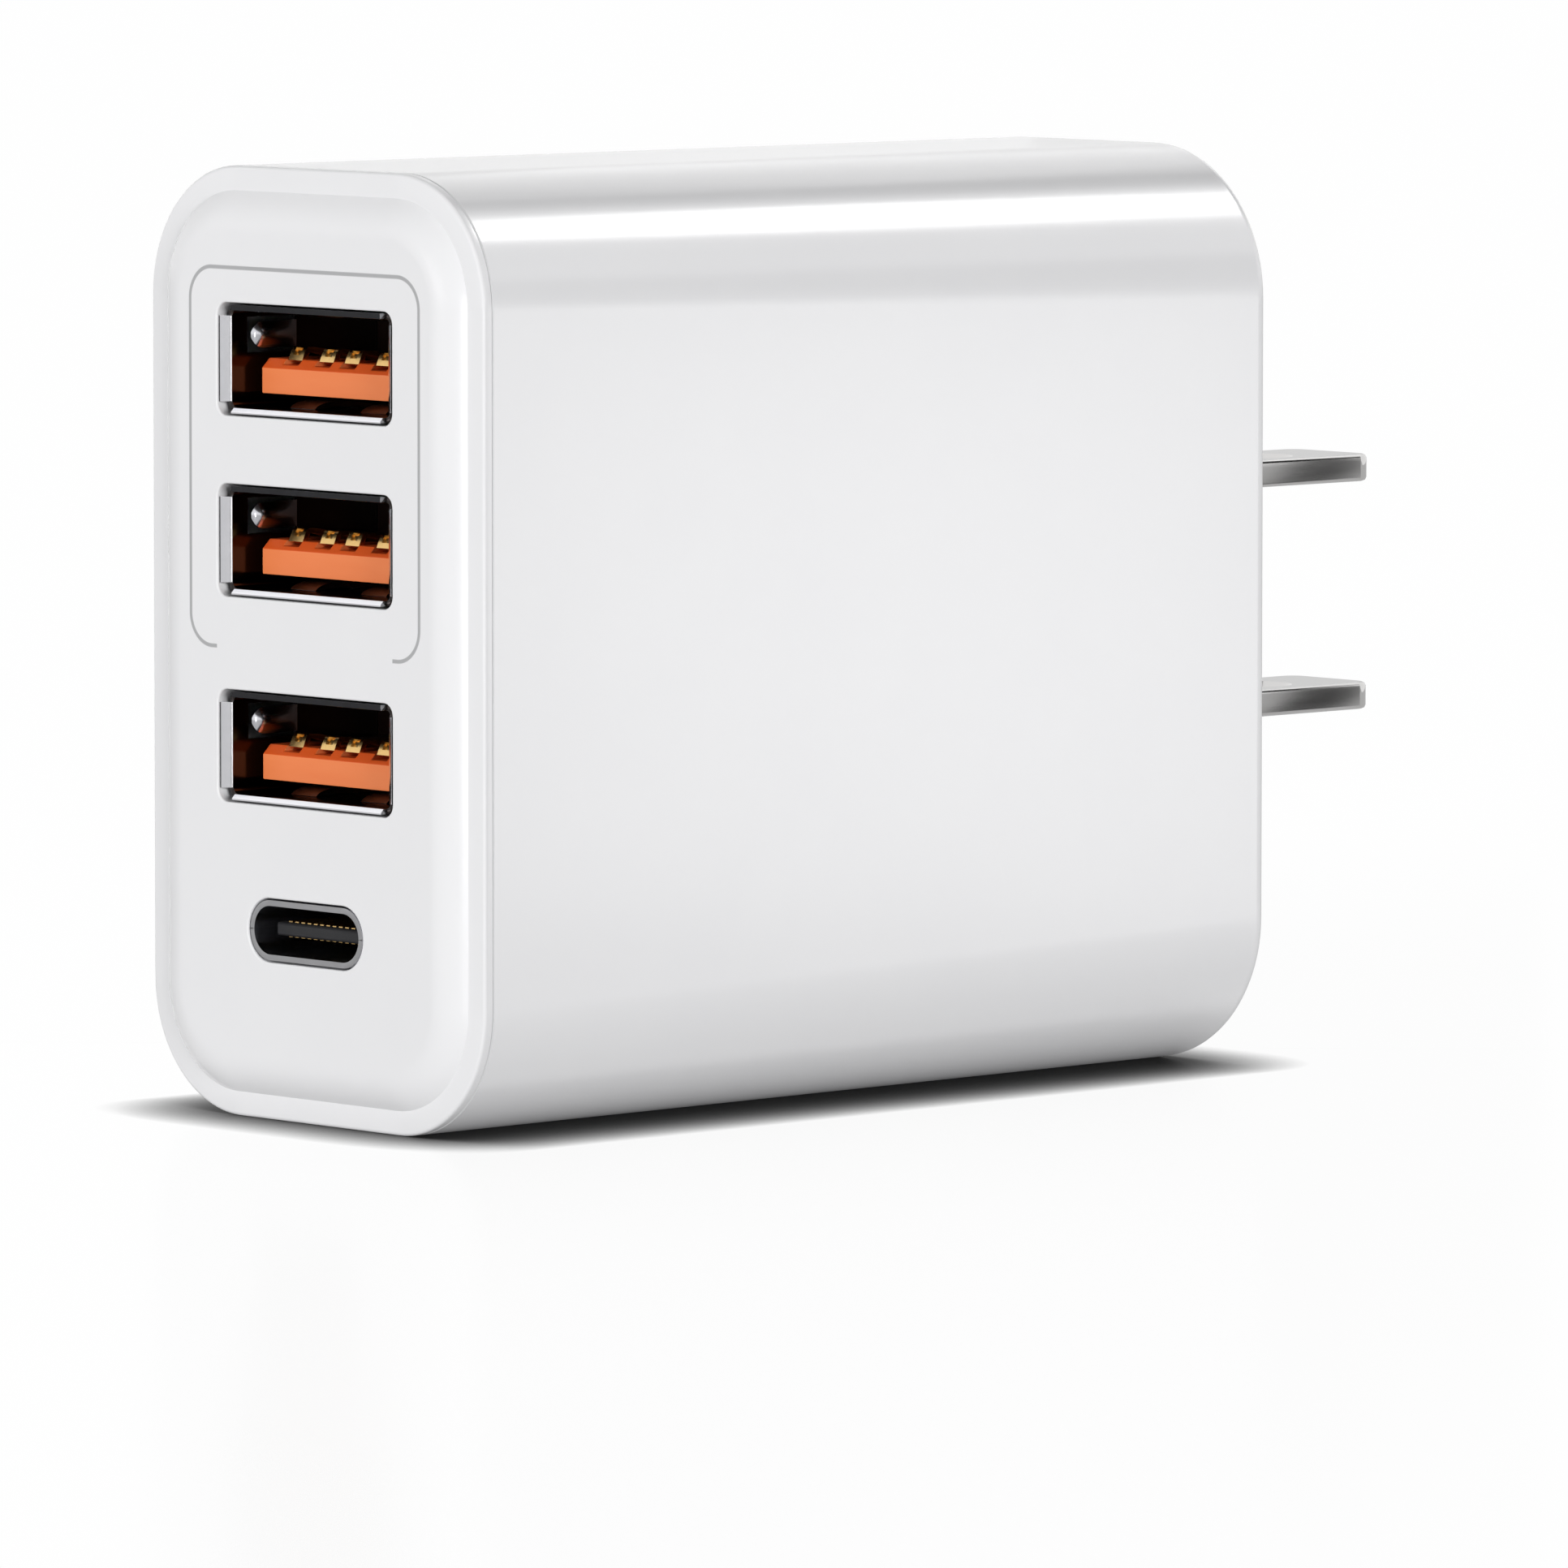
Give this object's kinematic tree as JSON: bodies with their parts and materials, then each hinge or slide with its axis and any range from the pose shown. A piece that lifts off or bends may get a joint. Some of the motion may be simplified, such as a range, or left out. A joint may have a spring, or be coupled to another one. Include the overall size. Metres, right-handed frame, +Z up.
{
  "type": "usb wall charger",
  "caption": "Upright white wall charger with a column of USB sockets in a raised front panel, a rounded box housing and flat mains blades standing out of the back.",
  "frame": {"origin": "middle of the flat back face, midway between the two blades", "axes": "+Y out along the blades, +Z up along the column of sockets, +X across the narrow side"},
  "size_m": [0.0264, 0.0757, 0.05],
  "materials": {
    "white_shell": "satin white moulded plastic",
    "blade_nickel": "bright nickel plate on brass",
    "socket_steel": "tinned steel sheet",
    "orange_insulator": "orange moulded insulator",
    "black_insulator": "black moulded insulator",
    "gilt_contact": "gold flash on bronze",
    "carrier_plastic": "white flame-resistant plastic",
    "spring_brass": "rolled brass strip",
    "board_laminate": "green masked glass laminate",
    "film": "polyester film",
    "chip_epoxy": "black moulding compound",
    "ferrite": "sintered ferrite",
    "bobbin_plastic": "black phenolic",
    "winding_tape": "yellow polyester tape over wire",
    "magnet_wire": "enamelled copper wire",
    "capacitor_sleeve": "dark shrink sleeve",
    "capacitor_can": "bare aluminium can",
    "disc_ceramic": "blue dipped ceramic"
  },
  "bodies": {
    "root": {"main_housing": "white_shell", "front_cover": "white_shell", "upper_blade": "blade_nickel", "lower_blade": "blade_nickel", "usb_a_shell_1": "socket_steel", "usb_a_shell_2": "socket_steel", "usb_a_shell_3": "socket_steel", "usb_c_shell": "socket_steel", "usb_a_tongue_1": "orange_insulator", "usb_a_tongue_2": "orange_insulator", "usb_a_tongue_3": "orange_insulator", "usb_c_tongue": "black_insulator", "usb_a_contacts_1": "gilt_contact", "usb_a_contacts_2": "gilt_contact", "usb_a_contacts_3": "gilt_contact", "usb_c_contacts": "gilt_contact", "blade_carrier": "carrier_plastic", "line_spring": "spring_brass", "neutral_spring": "spring_brass", "port_board": "board_laminate", "main_board": "board_laminate", "insulation_sheet": "film", "protocol_chip": "chip_epoxy", "primary_controller": "chip_epoxy", "sync_rectifier": "chip_epoxy", "bridge_rectifier": "chip_epoxy", "optocoupler": "chip_epoxy", "core_half_upper": "ferrite", "core_half_lower": "ferrite", "choke_core": "ferrite", "transformer_bobbin": "bobbin_plastic", "mains_fuse": "bobbin_plastic", "transformer_winding": "winding_tape", "choke_winding": "magnet_wire", "bulk_capacitor_upper": "capacitor_sleeve", "bulk_capacitor_lower": "capacitor_sleeve", "output_capacitor_upper": "capacitor_can", "output_capacitor_lower": "capacitor_can", "safety_capacitor": "disc_ceramic"}
  },
  "joints": []
}
